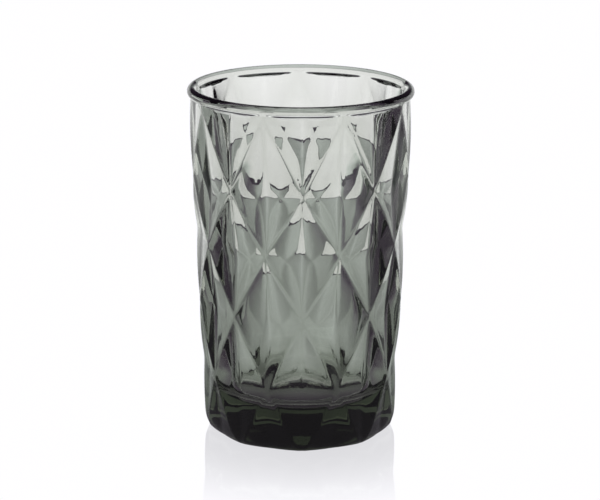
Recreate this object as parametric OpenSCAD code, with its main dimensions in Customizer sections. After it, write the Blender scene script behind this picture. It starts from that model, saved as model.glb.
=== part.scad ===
// Tall pressed-glass tumbler: one piece of glass with a rounded lip, a smooth
// tapered inside, a thick floor and a staggered diamond relief on the outside.
// The origin is the middle of the foot plane, +Z points up, sizes in millimetres.

/* [Rim] */
// Outside diameter over the rounded lip
rim_d = 84; // [80:0.5:90]
// Height from the foot plane to the top of the lip
height = 131; // [130:0.5:138]
// Thickness of the rounded lip
lip_t = 3.9; // [3.7:0.1:4.4]
// How far the lip stands proud of the ridges below it
lip_proud = 0.3; // [0.2:0.1:0.5]

/* [Wall] */
// Outside diameter across the ridges, carried down to the foot plane
foot_end_d = 72; // [71:0.5:76]
// Inside diameter where the wall would meet the floor
floor_d = 59; // [56:0.5:60]
// Radius of the round corner between the inside wall and the floor
floor_corner = 8; // [4:0.5:12]
// Thickness of the glass under the drink, above the foot plane
floor_t = 14; // [9:0.5:18]

/* [Diamond relief] */
// Number of diamonds around the glass
diamonds = 9; // [7:1:11]
// Depth of a diamond at its middle, below the round envelope of the ridges
relief = 2.4; // [0.4:0.1:2.5]
// Hollowness of a diamond's sides: 1 is flat, less is steeper at the ridges
scoop = 0.8; // [0.6:0.05:1]

/* [Foot] */
// Height over which the heel rounds in to the foot
heel_h = 6; // [3:0.5:8]
// How far the heel comes in from the wall to the edge of the foot
heel_in = 2.5; // [1:0.1:3.5]
// Diameter of the shallow hollow in the underside
hollow_d = 54; // [44:1:58]
// Depth of the hollow in the underside
hollow_t = 1.2; // [0.6:0.1:2]

/* [Hidden] */
$fn = 144;

glass_colour = [0.46, 0.5, 0.47, 0.6];
// Heights of the rows of ridge crossings; the lowest lies just under the foot, the highest above the lip.
ROWS = [-2.2, 23.8, 50.8, 75.2, 98.2, 126, 153];
// Grid steps from a ridge crossing to the next one, both around and up.
STEPS = 4;
// Heights of the rings that round the heel.
HEEL_RINGS = [0, 0.3, 1, 2.2, 4.5];
// Share of the relief that is left at the foot plane.
FOOT_RELIEF = 0.5;
// The collar under the round of the lip: how far it reaches past the ridges, and how far down.
COLLAR_PROUD = 0.05;
COLLAR_H = 0.5;
// Degrees between the points that round the lip.
LIP_TURN = 7.5;
// The inside wall cuts this little into the lip, so that the two never only graze.
LIP_LAND = 0.1;

rim_r = rim_d / 2;
lip_r = lip_t / 2;
lip_z = height - lip_r;
collar_z = lip_z - lip_r - COLLAR_H;
wall_top = collar_z + COLLAR_H / 2;
half_pitch = 180 / diamonds;
columns = 2 * diamonds * STEPS;
inside_r = rim_r - lip_t + LIP_LAND;

// Radius of the round envelope that carries the ridges.
function envelope(z) = foot_end_d / 2 + (rim_r - lip_proud - foot_end_d / 2) * z / lip_z;

// How far the heel has come in at a height.
function heel(z) = z >= heel_h ? 0 : heel_in * (1 - sqrt(1 - pow(1 - z / heel_h, 2)));

// Height counted in rows: 0 at the lowest row of crossings, 1 at the next one.
function row_of(z) = lookup(z, [for (i = [0:len(ROWS) - 1]) [ROWS[i], i]]);

// 0 on the ridges of one family, which lie at even numbers, and 1 half way between two of them.
function from_ridge(x) = pow(1 - abs(x - 2 * floor(x / 2) - 1), scoop);

// Share of the full relief at a height.
function strength(z) = z < heel_h ? FOOT_RELIEF + (1 - FOOT_RELIEF) * z / heel_h : 1;

// Depth of the relief: four falls from the ridges to the middle of a diamond.
function sunk(turn, z) = relief * strength(z)
    * min(from_ridge(turn / half_pitch + row_of(z)), from_ridge(turn / half_pitch - row_of(z)));

function outside(turn, z) = envelope(z) - heel(z) - sunk(turn, z);

ring_z = concat(
    HEEL_RINGS,
    [for (row = [0:len(ROWS) - 2], k = [1:STEPS])
        let (z = ROWS[row] + (ROWS[row + 1] - ROWS[row]) * k / STEPS) if (z > heel_h && z < wall_top) z],
    [wall_top]);

// The first column of the grid faces the front, along -Y.
function ring(z) = [for (c = [0:columns - 1])
    let (turn = c * 360 / columns, r = outside(turn, z)) [r * sin(turn), -r * cos(turn), z]];

// The side between two rings, split along the direction in which the ridge runs there.
function side(low, c) =
    let (next = (c + 1) % columns, a = low * columns + c, b = low * columns + next,
        middle = row_of((ring_z[low] + ring_z[low + 1]) / 2),
        rising = (floor(c / STEPS) + floor(middle)) % 2 == 0)
    rising ? [[a, a + columns, b + columns], [a, b + columns, b]]
           : [[a, a + columns, b], [b, a + columns, b + columns]];

// Solid of the outside, up to a flat top hidden in the collar of the lip.
module relief_solid() {
    rings = len(ring_z);
    last = (rings - 1) * columns;
    polyhedron(
        points = [for (z = ring_z) each ring(z)],
        faces = concat(
            [[for (c = [0:columns - 1]) c]],
            [for (low = [0:rings - 2], c = [0:columns - 1]) each side(low, c)],
            [[for (c = [columns - 1:-1:0]) last + c]]));
}

// The rounded lip, a ring on top of the wall. Its flat underside shows over the hollow of a diamond.
module lip() {
    collar_r = rim_r - lip_proud + COLLAR_PROUD;
    rotate_extrude() {
        translate([rim_r - lip_r, lip_z]) polygon([for (a = [0:LIP_TURN:359]) lip_r * [cos(a), sin(a)]]);
        translate([rim_r - lip_t, collar_z]) square([collar_r - rim_r + lip_t, lip_z - collar_z]);
    }
}

// The space for the drink, open upwards.
module inside() {
    lean = atan((inside_r - floor_d / 2) / (lip_z - floor_t));
    corner_x = floor_d / 2 - floor_corner * tan(45 - lean / 2);
    corner_z = floor_t + floor_corner;
    rotate_extrude() polygon(concat(
        [[0, floor_t]],
        [for (a = [-90:(90 - lean) / 12:-lean + 0.001])
            [corner_x + floor_corner * cos(a), corner_z + floor_corner * sin(a)]],
        [[inside_r, lip_z], [inside_r, height + lip_t], [0, height + lip_t]]));
}

// Shallow lens-shaped hollow, so that the glass stands on a flat ring.
module hollow() {
    ball_r = (pow(hollow_d / 2, 2) + pow(hollow_t, 2)) / (2 * hollow_t);
    cap_steps = 8;
    cap = asin(hollow_d / 2 / ball_r);
    rotate_extrude() polygon(concat(
        [[0, -1], [0, hollow_t]],
        [for (k = [1:cap_steps])
            [ball_r * sin(cap * k / cap_steps), hollow_t - ball_r * (1 - cos(cap * k / cap_steps))]],
        [[hollow_d / 2, -1]]));
}

module glass_body() {
    color(glass_colour) difference() {
        union() {
            relief_solid();
            lip();
        }
        inside();
        hollow();
    }
}

glass_body();
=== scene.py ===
"""Smoke-grey pressed-glass tumbler on a pale glossy sheet, in soft studio light."""
import math

import bmesh
import bpy
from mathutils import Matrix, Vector


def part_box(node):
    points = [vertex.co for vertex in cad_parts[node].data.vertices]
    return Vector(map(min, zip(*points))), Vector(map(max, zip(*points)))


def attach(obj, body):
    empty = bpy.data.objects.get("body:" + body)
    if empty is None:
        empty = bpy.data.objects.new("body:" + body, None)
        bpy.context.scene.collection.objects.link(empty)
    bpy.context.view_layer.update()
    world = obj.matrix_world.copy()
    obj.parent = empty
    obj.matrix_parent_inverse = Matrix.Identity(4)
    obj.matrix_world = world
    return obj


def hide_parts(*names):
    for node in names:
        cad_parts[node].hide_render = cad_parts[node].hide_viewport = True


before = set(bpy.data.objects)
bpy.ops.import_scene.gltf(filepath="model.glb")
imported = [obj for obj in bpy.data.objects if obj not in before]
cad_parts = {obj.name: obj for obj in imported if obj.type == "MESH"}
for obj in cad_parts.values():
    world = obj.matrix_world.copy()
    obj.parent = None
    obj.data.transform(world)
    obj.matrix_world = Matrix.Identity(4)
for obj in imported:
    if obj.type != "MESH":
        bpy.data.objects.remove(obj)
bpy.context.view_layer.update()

MM = 0.001

# ---------------------------------------------------------------- sizes, in metres
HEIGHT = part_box("glass_body")[1].z
RIM_R = 42 * MM                  # outside radius over the lip
LIP_R = 1.95 * MM                # radius of the rounded lip itself
LIP_Z = HEIGHT - LIP_R           # height of the middle of the lip
LIP_BLEND = 0.5 * MM             # small hollow where the wall runs into the lip
WALL_TOP_R = 41.7 * MM           # wall radius across the ridges, carried up to the middle of the lip
FOOT_END_R = 36 * MM             # wall radius across the ridges, carried down to the foot plane
HEEL_H, HEEL_IN = 6 * MM, 2.5 * MM  # height of the rounded heel, and how far it comes in
FLOOR_Z = 14 * MM                # inside floor above the foot plane
FLOOR_R = 29.5 * MM              # where the inside wall would meet the floor
FLOOR_CORNER = 8 * MM            # round between the inside wall and the floor
FLOOR_DISH = 0.5 * MM            # the inside floor is this much lower in its middle
WALL_SWELL = 0.3 * MM            # the wall is this much thicker half way up
HOLLOW_R, HOLLOW_T = 27 * MM, 1.2 * MM  # radius and depth of the hollow in the underside
ON_WALL = 0.01 * MM              # a point this near to the outside wall is on it
SAME_POINT = 0.0001 * MM         # points this near to each other are one

# ---------------------------------------------------------------- the glass itself
GLASS_IOR = 1.52
GLASS_TINT = (0.829, 0.840, 0.815, 1)
GLASS_DENSITY = 300              # how fast the tint deepens, per metre of glass
RIPPLE_SIZE = 4 * MM             # the faint waves that pressing leaves on the surface
RIPPLE_T = 0.03 * MM             # how high those waves are

# ---------------------------------------------------------------- diamond relief
DIAMONDS = 9
RELIEF = 2.4 * MM                # depth of a diamond at its middle
FOOT_RELIEF = 0.5                # share of that depth that is left at the foot plane
ROWS = [z * MM for z in (-2.2, 23.8, 50.8, 75.2, 98.2, 126, 153)]  # heights of the ridge crossings
STEPS = 22                       # grid steps from one ridge crossing to the next
RIDGE_ROUND = 0.03               # how soft a ridge is, as a share of half a diamond
CREASE_ROUND = 0.2               # how soft the folds inside a diamond are
SCOOP = 0.8                      # under 1 the sides of a diamond are a little hollow, steepest at the ridge
HALF_PITCH = math.pi / DIAMONDS
COLUMNS = 2 * DIAMONDS * STEPS


def envelope(z):
    """Radius of the round cone that carries the ridges."""
    return FOOT_END_R + (WALL_TOP_R - FOOT_END_R) * z / LIP_Z


def heel(z):
    """How far the heel has come in at a height."""
    short = 1 - max(z, 0) / HEEL_H
    return 0 if short <= 0 else HEEL_IN * (1 - math.sqrt(1 - short ** 2))


def row_of(z):
    """Height counted in rows of ridge crossings."""
    for row in range(len(ROWS) - 1):
        if z < ROWS[row + 1]:
            return row + (z - ROWS[row]) / (ROWS[row + 1] - ROWS[row])
    return len(ROWS) - 1


def from_ridge(x):
    """0 on a ridge of one family and 1 half way to the next, with a rounded ridge."""
    away = 1 - abs(x % 2 - 1)
    fall = (math.hypot(away, RIDGE_ROUND) - RIDGE_ROUND) / (math.hypot(1, RIDGE_ROUND) - RIDGE_ROUND)
    return fall ** SCOOP


def soft_min(a, b, round_off):
    """The smaller of two values, rounded where they are nearly equal."""
    blend = max(round_off - abs(a - b), 0) / round_off
    return min(a, b) - blend * blend * round_off / 4


def strength(z):
    """Share of the full relief at a height."""
    return FOOT_RELIEF + (1 - FOOT_RELIEF) * z / HEEL_H if z < HEEL_H else 1


def sunk(turn, z):
    """Depth of the relief under the envelope: four falls from the ridges to the middle of a diamond."""
    across, up = turn / HALF_PITCH, row_of(z)
    return RELIEF * strength(z) * soft_min(from_ridge(across + up), from_ridge(across - up), CREASE_ROUND)


# ---------------------------------------------------------------- mesh helpers
def arc(middle_r, middle_z, radius, start, end, steps):
    """Points of an arc in the (radius, height) plane, angles in degrees, both ends included."""
    angles = [math.radians(start + (end - start) * i / steps) for i in range(steps + 1)]
    return [(middle_r + radius * math.cos(a), middle_z + radius * math.sin(a)) for a in angles]


def spun(outline, columns):
    """A closed surface of revolution around Z from an outline that starts and ends on the axis."""
    bm = bmesh.new()
    verts = [bm.verts.new((r, 0, z)) for r, z in outline]
    edges = [bm.edges.new(pair) for pair in zip(verts, verts[1:])]
    bmesh.ops.spin(bm, geom=verts + edges, cent=(0, 0, 0), axis=(0, 0, 1), angle=2 * math.pi,
                   steps=columns, use_merge=True)
    bmesh.ops.remove_doubles(bm, verts=bm.verts, dist=SAME_POINT)
    bmesh.ops.recalc_face_normals(bm, faces=bm.faces)
    return bm


def finished(name, bm, material):
    """A smooth-shaded object in the scene from a bmesh."""
    for face in bm.faces:
        face.smooth = True
    mesh = bpy.data.meshes.new(name)
    bm.to_mesh(mesh)
    bm.free()
    mesh.materials.append(material)
    piece = bpy.data.objects.new(name, mesh)
    bpy.context.scene.collection.objects.link(piece)
    return piece


# ---------------------------------------------------------------- the tumbler
def underside_outline():
    """From the middle of the hollow underside out over the foot ring to the start of the heel."""
    cap_steps, ring_steps = 10, 5
    ball = (HOLLOW_R ** 2 + HOLLOW_T ** 2) / (2 * HOLLOW_T)
    cap = math.degrees(math.asin(HOLLOW_R / ball))
    hollow = arc(0, HOLLOW_T - ball, ball, 90, 90 - cap, cap_steps)[1:]
    ring_w = FOOT_END_R - HEEL_IN - HOLLOW_R
    ring = [(HOLLOW_R + ring_w * k / ring_steps, 0) for k in range(1, ring_steps)]
    return [(0, HOLLOW_T)] + hollow + ring


def wall_outline():
    """The heel and the wall, with rings on every grid step of the relief, up to the underside of the lip."""
    heel_steps = 9
    heights = [HEEL_H * (1 - math.cos(math.pi / 2 * k / heel_steps)) for k in range(heel_steps)]
    for row in range(len(ROWS) - 1):
        step = (ROWS[row + 1] - ROWS[row]) / STEPS
        heights += [ROWS[row] + step * k for k in range(1, STEPS + 1)
                    if HEEL_H <= ROWS[row] + step * k < LIP_Z - LIP_R - step / 4]
    return [(envelope(z) - heel(z), z) for z in heights]


def lip_outline():
    """The rounded lip from its underside over to its inside."""
    under_steps, over_steps = 14, 18
    under = [(envelope(z), z) for _, z in arc(RIM_R - LIP_R, LIP_Z, LIP_R, -90, 0, under_steps)[:-1]]
    return under + arc(RIM_R - LIP_R, LIP_Z, LIP_R, 0, 180, over_steps)


def inside_outline():
    """Down the smooth inside wall, round the corner and to the middle of the dished floor."""
    wall_steps, corner_steps, floor_steps = 50, 14, 8
    top_r = RIM_R - 2 * LIP_R
    lean = math.atan((top_r - FLOOR_R) / (LIP_Z - FLOOR_Z))
    corner_r = FLOOR_R - FLOOR_CORNER * math.tan(math.pi / 4 - lean / 2)
    corner_z = FLOOR_Z + FLOOR_CORNER
    corner = arc(corner_r, corner_z, FLOOR_CORNER, -math.degrees(lean), -90, corner_steps)
    end_r, end_z = corner[0]
    wall = [(top_r + (end_r - top_r) * k / wall_steps - WALL_SWELL * math.sin(math.pi * k / wall_steps),
             LIP_Z + (end_z - LIP_Z) * k / wall_steps)
            for k in range(1, wall_steps)]
    floor = [(corner_r * (1 - k / floor_steps), FLOOR_Z - FLOOR_DISH * (1 - (1 - k / floor_steps) ** 2))
             for k in range(1, floor_steps + 1)]
    return wall + corner + floor


def lip_reach(z):
    """Outside radius of the lip at a height, or of its middle where the lip doesn't reach."""
    return RIM_R - LIP_R + math.sqrt(max(LIP_R ** 2 - (z - LIP_Z) ** 2, 0))


def press_relief(bm):
    """Sinks the diamonds into the outside of the wall and runs them into the lip."""
    for vert in bm.verts:
        radius, z = math.hypot(vert.co.x, vert.co.y), vert.co.z
        if z < LIP_Z - ON_WALL and radius > envelope(z) - heel(z) - ON_WALL:
            turn = math.atan2(vert.co.x, -vert.co.y)
            wall = radius - sunk(turn, z)
            if z > LIP_Z - LIP_R:
                wall = -soft_min(-wall, -lip_reach(z), LIP_BLEND)
            scale = wall / radius
            vert.co.x *= scale
            vert.co.y *= scale


def make_tumbler(material):
    """The whole glass as one closed solid: underside, heel, wall, lip, inside and floor."""
    outline = underside_outline() + wall_outline() + lip_outline() + inside_outline()
    bm = spun(outline, COLUMNS)
    press_relief(bm)
    return finished("tumbler_glass", bm, material)


# ---------------------------------------------------------------- the glass's finish
def new_material(name):
    """An empty node material: itself, its nodes, its links and its output."""
    material = bpy.data.materials.new(name)
    material.use_nodes = True
    nodes, links = material.node_tree.nodes, material.node_tree.links
    nodes.clear()
    return material, nodes, links, nodes.new("ShaderNodeOutputMaterial")


def smoke_glass():
    """Polished soda-lime glass, tinted smoke grey through its whole depth."""
    material, nodes, links, output = new_material("smoke_glass")
    shader = nodes.new("ShaderNodeBsdfPrincipled")
    shader.inputs["Base Color"].default_value = (1, 1, 1, 1)
    shader.inputs["Transmission Weight"].default_value = 1
    shader.inputs["IOR"].default_value = GLASS_IOR
    shader.inputs["Roughness"].default_value = 0
    coords = nodes.new("ShaderNodeTexCoord")
    waves = nodes.new("ShaderNodeTexNoise")
    waves.inputs["Scale"].default_value = 1 / RIPPLE_SIZE
    waves.inputs["Detail"].default_value = 1
    ripple = nodes.new("ShaderNodeBump")
    ripple.inputs["Strength"].default_value = 1
    ripple.inputs["Distance"].default_value = RIPPLE_T
    links.new(coords.outputs["Object"], waves.inputs["Vector"])
    links.new(waves.outputs["Fac"], ripple.inputs["Height"])
    links.new(ripple.outputs[0], shader.inputs["Normal"])
    tint = nodes.new("ShaderNodeVolumeAbsorption")
    tint.inputs["Color"].default_value = GLASS_TINT
    tint.inputs["Density"].default_value = GLASS_DENSITY
    links.new(shader.outputs[0], output.inputs["Surface"])
    links.new(tint.outputs[0], output.inputs["Volume"])
    return material


# ---------------------------------------------------------------- studio, distances in metres, white is 1
# The sheet as the eye sees it: a little cool, with a mirror image that fades away from the foot.
SHEET_R, SHEET_SIDES = 6, 96
SHEET_WHITE = (1.0, 0.995, 1.03, 1)
SHEET_GLOSS, SHEET_ROUGHNESS = 0.28, 0.05
GLOSS_NEAR, GLOSS_FAR = 0.033, 0.105

# The table as the glass bends it, all painted light and shade: painted shade at the sides, and a paler
# painted patch close behind the glass. A painted sheen runs back from there, fades to its own sides and ends
# at a painted dark gap in front of the painted back light.
# painted shade: the dim glow of the table wherever nothing lit is painted on it
PAINTED_TABLE_SHADE = 0.05
NEAR_LEVEL, NEAR_ENDS, NEAR_FRONT = 0.34, (0.1365, 0.084), (-0.04, 0.03)
# painted sheen on the table: its brightness, half width, fall to its sides and front edge
SHEEN_LEVEL, SHEEN_HALF, SHEEN_FALL, SHEEN_FRONT = 0.64, 0.17, 1.4, (0.0, 0.04)
GAP_T, EDGE_SOFT = 0.012, 0.004

# Painted lit ways lead straight off from the glass across the table. For each: degrees around from the
# front, start, brightness.
# painted back light: where it begins on the table, behind the glass
PAINTED_BACK_LIGHT = 0.31
PAINTED_BRIGHT_WAYS = [(180, PAINTED_BACK_LIGHT, 0.95), (45, 0.20, 0.7), (270, 0.75, 0.9), (225, 0.62, 0.8), (0, 0.75, 0.8),
               (45, 0.13, 0.4), (225, 0.14, 0.42)]
WAY_FROM, WAY_SLOPES = 0.12, (0.91, 0.49)  # a way widens from here, and its sides fade between these slopes

# Painted reflection: the table as the polished glass mirrors it, painted brighter beyond a stretch behind
# the glass.
MIRROR_FRONT, MIRROR_BACK, MIRROR_STEP = 0.20, 0.90, (0.06, 0.16)

# The room as the glass bends it: white low down, and darker the steeper a ray rises between these slants.
ROOM_DARK, ROOM_FADE = 0.06, (0.25, 0.08)

# Hue of the surroundings by their brightness: lilac in the dark, a little green half way, then white.
ROOM_HUES = [(0.0, (1.0, 0.66, 1.15)), (0.16, (0.98, 0.88, 1.05)), (0.32, (0.94, 1.0, 0.96)),
             (0.75, (0.94, 1.0, 0.97)), (0.95, (1, 1, 1))]

# The soft light overhead: where it hangs, how wide it is, and its power in watts.
BOX_PLACE, BOX_SIDE, BOX_POWER = Vector((0, 0.1, 1.0)), 0.8, 1.5


def math_node(nodes, links, operation, *inputs):
    """One maths node whose inputs are numbers or the outputs of other nodes."""
    node = nodes.new("ShaderNodeMath")
    node.operation = operation
    for socket, value in zip(node.inputs, inputs):
        if isinstance(value, (int, float)):
            socket.default_value = value
        else:
            links.new(value, socket)
    return node.outputs[0]


def step_up(nodes, links, value, start, end):
    """0 below start and 1 above end, smooth in between; falls instead if end is below start."""
    node = nodes.new("ShaderNodeMapRange")
    node.interpolation_type = "SMOOTHSTEP"
    links.new(value, node.inputs["Value"])
    node.inputs["From Min"].default_value = min(start, end)
    node.inputs["From Max"].default_value = max(start, end)
    node.inputs["To Min"].default_value = 0 if end > start else 1
    node.inputs["To Max"].default_value = 1 if end > start else 0
    return node.outputs[0]


def between(nodes, links, share, low, high):
    """The value that lies a share of the way from low to high."""
    return math_node(nodes, links, "MULTIPLY_ADD", share, high - low, low)


def larger(nodes, links, *values):
    """The largest of several values."""
    result = values[0]
    for value in values[1:]:
        result = math_node(nodes, links, "MAXIMUM", result, value)
    return result


def product(nodes, links, *values):
    """Several values multiplied together."""
    result = values[0]
    for value in values[1:]:
        result = math_node(nodes, links, "MULTIPLY", result, value)
    return result


def from_glass(nodes, links):
    """A place on the table: how far right, how far back, and how far from the middle of the glass."""
    coords = nodes.new("ShaderNodeTexCoord")
    split = nodes.new("ShaderNodeSeparateXYZ")
    links.new(coords.outputs["Object"], split.inputs[0])
    x, y = split.outputs["X"], split.outputs["Y"]
    square = math_node(nodes, links, "ADD", product(nodes, links, x, x), product(nodes, links, y, y))
    return x, y, math_node(nodes, links, "SQRT", square)


def painted_bright_way(nodes, links, x, y, degrees, start, level):
    """A painted lit stretch of the table that runs straight away from the glass in one direction."""
    turn = math.radians(degrees)
    ahead = (math.sin(turn), -math.cos(turn))
    along = math_node(nodes, links, "ADD", product(nodes, links, x, ahead[0]),
                      product(nodes, links, y, ahead[1]))
    across = math_node(nodes, links, "SUBTRACT", product(nodes, links, y, ahead[0]),
                       product(nodes, links, x, ahead[1]))
    run = larger(nodes, links, math_node(nodes, links, "SUBTRACT", along, WAY_FROM), 1 * MM)
    slope = math_node(nodes, links, "DIVIDE", math_node(nodes, links, "ABSOLUTE", across), run)
    inside = step_up(nodes, links, slope, *WAY_SLOPES)
    begun = step_up(nodes, links, along, start - EDGE_SOFT / 2, start + EDGE_SOFT / 2)
    return product(nodes, links, inside, begun, level)


def painted_sheen(nodes, links, x, y):
    """A painted sheen on the table, which fades to its sides and ends at the painted dark gap in front of
    the painted back light.
    """
    out = math_node(nodes, links, "DIVIDE", math_node(nodes, links, "ABSOLUTE", x), SHEEN_HALF)
    left = larger(nodes, links, math_node(nodes, links, "SUBTRACT", 1, out), 0)
    fading = math_node(nodes, links, "POWER", left, SHEEN_FALL)
    gap = PAINTED_BACK_LIGHT - GAP_T
    return product(nodes, links, fading, step_up(nodes, links, y, *SHEEN_FRONT),
                   step_up(nodes, links, y, gap, gap - EDGE_SOFT), SHEEN_LEVEL)


def painted_table_light(nodes, links):
    """How bright the table is painted for the rays that the glass bends or mirrors: painted shade, painted
    light and a painted reflection.
    """
    x, y, distance = from_glass(nodes, links)
    near = product(nodes, links, step_up(nodes, links, distance, *NEAR_ENDS),
                   step_up(nodes, links, y, *NEAR_FRONT), NEAR_LEVEL)
    ways = [painted_bright_way(nodes, links, x, y, *way) for way in PAINTED_BRIGHT_WAYS]
    # painted reflection: what the glass mirrors of the table is painted, dim in front and bright behind
    painted_reflection = between(nodes, links, step_up(nodes, links, y, *MIRROR_STEP), MIRROR_FRONT, MIRROR_BACK)
    path = nodes.new("ShaderNodeLightPath")
    bounced = product(nodes, links, path.outputs["Is Reflection Ray"], painted_reflection)
    return larger(nodes, links, near, painted_sheen(nodes, links, x, y), PAINTED_TABLE_SHADE, bounced, *ways)


def room_hue(nodes, links, light):
    """The hue that goes with a brightness of the surroundings."""
    ramp = nodes.new("ShaderNodeValToRGB")
    marks = ramp.color_ramp.elements
    marks[-1].position = ROOM_HUES[-1][0]
    for level, _ in ROOM_HUES[1:-1]:
        marks.new(level)
    for mark, (_, hue) in zip(marks, ROOM_HUES):
        mark.color = (*hue, 1)
    links.new(light, ramp.inputs["Fac"])
    return ramp.outputs["Color"]


def pale_floor():
    """A white glossy sheet to the eye; to the rays that the glass bends, a glowing table painted with shade
    and lit ways.
    """
    material, nodes, links, output = new_material("pale_floor")
    sheet = nodes.new("ShaderNodeEmission")
    sheet.inputs["Color"].default_value = SHEET_WHITE
    gloss = nodes.new("ShaderNodeBsdfGlossy")
    gloss.inputs["Color"].default_value = (1, 1, 1, 1)
    gloss.inputs["Roughness"].default_value = SHEET_ROUGHNESS
    distance = from_glass(nodes, links)[2]
    fading = product(nodes, links, step_up(nodes, links, distance, GLOSS_FAR, GLOSS_NEAR), SHEET_GLOSS)
    seen = nodes.new("ShaderNodeMixShader")
    links.new(fading, seen.inputs[0])
    links.new(sheet.outputs[0], seen.inputs[1])
    links.new(gloss.outputs[0], seen.inputs[2])
    light = painted_table_light(nodes, links)
    # the table glows with painted light and shade, seen only by rays that are not camera rays
    painted_table_glow = nodes.new("ShaderNodeEmission")
    links.new(room_hue(nodes, links, light), painted_table_glow.inputs["Color"])
    links.new(light, painted_table_glow.inputs["Strength"])
    path = nodes.new("ShaderNodeLightPath")
    choice = nodes.new("ShaderNodeMixShader")
    links.new(path.outputs["Is Camera Ray"], choice.inputs[0])
    links.new(painted_table_glow.outputs[0], choice.inputs[1])
    links.new(seen.outputs[0], choice.inputs[2])
    links.new(choice.outputs[0], output.inputs["Surface"])
    return material


def make_floor():
    """The wide round sheet that the glass stands on."""
    bm = bmesh.new()
    bmesh.ops.create_circle(bm, cap_ends=True, radius=SHEET_R, segments=SHEET_SIDES)
    return finished("floor", bm, pale_floor())


def make_world():
    """The room: dark above eye level to the sharp rays that leave the glass, plain white to all others."""
    world = bpy.data.worlds.new("studio")
    bpy.context.scene.world = world
    world.use_nodes = True
    nodes, links = world.node_tree.nodes, world.node_tree.links
    nodes.clear()
    output = nodes.new("ShaderNodeOutputWorld")
    background = nodes.new("ShaderNodeBackground")
    coords = nodes.new("ShaderNodeTexCoord")
    split = nodes.new("ShaderNodeSeparateXYZ")
    links.new(coords.outputs["Generated"], split.inputs[0])
    walls = step_up(nodes, links, split.outputs["Z"], *ROOM_FADE)
    path = nodes.new("ShaderNodeLightPath")
    plain = math_node(nodes, links, "SUBTRACT", 1, path.outputs["Is Singular Ray"])
    seen = larger(nodes, links, between(nodes, links, walls, ROOM_DARK, 1), plain)
    links.new(room_hue(nodes, links, seen), background.inputs["Color"])
    links.new(seen, background.inputs["Strength"])
    links.new(background.outputs[0], output.inputs["Surface"])


def make_top_box():
    """A square soft light overhead, turned to the foot of the glass."""
    data = bpy.data.lights.new("top_box", "AREA")
    data.shape = "RECTANGLE"
    data.size, data.size_y, data.energy = BOX_SIDE, BOX_SIDE, BOX_POWER
    lamp = bpy.data.objects.new("top_box", data)
    lamp.location = BOX_PLACE
    lamp.rotation_euler = (-BOX_PLACE).to_track_quat("-Z", "Y").to_euler()
    bpy.context.scene.collection.objects.link(lamp)


# ---------------------------------------------------------------- camera
VIEW_DISTANCE = 0.85
VIEW_ELEVATION = math.radians(15.575)
VIEW_AZIMUTH = math.radians(-1.225)
VIEW_ROLL = math.radians(0.183)
VIEW_TARGET = Vector((-0.11 * MM, 0, 67.77 * MM))
SENSOR_W, LENS = 36, 135.558     # both in millimetres, as a camera takes them


def make_camera():
    """A long lens that looks a little down on the glass."""
    data = bpy.data.cameras.new("camera")
    data.sensor_width = SENSOR_W
    data.lens = LENS
    data.clip_start, data.clip_end = 0.01, 50
    camera = bpy.data.objects.new("camera", data)
    flat = VIEW_DISTANCE * math.cos(VIEW_ELEVATION)
    camera.location = VIEW_TARGET + Vector((flat * math.sin(VIEW_AZIMUTH), -flat * math.cos(VIEW_AZIMUTH),
                                            VIEW_DISTANCE * math.sin(VIEW_ELEVATION)))
    look = (VIEW_TARGET - camera.location).to_track_quat("-Z", "Y").to_matrix().to_4x4()
    look.translation = camera.location
    camera.matrix_world = look
    camera.rotation_euler.rotate_axis("Z", VIEW_ROLL)
    bpy.context.scene.collection.objects.link(camera)
    bpy.context.scene.camera = camera


# ---------------------------------------------------------------- making
tumbler = make_tumbler(smoke_glass())
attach(tumbler, "root")
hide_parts("glass_body")
make_floor()
make_world()
make_top_box()
make_camera()
bpy.context.scene.view_settings.view_transform = "Standard"
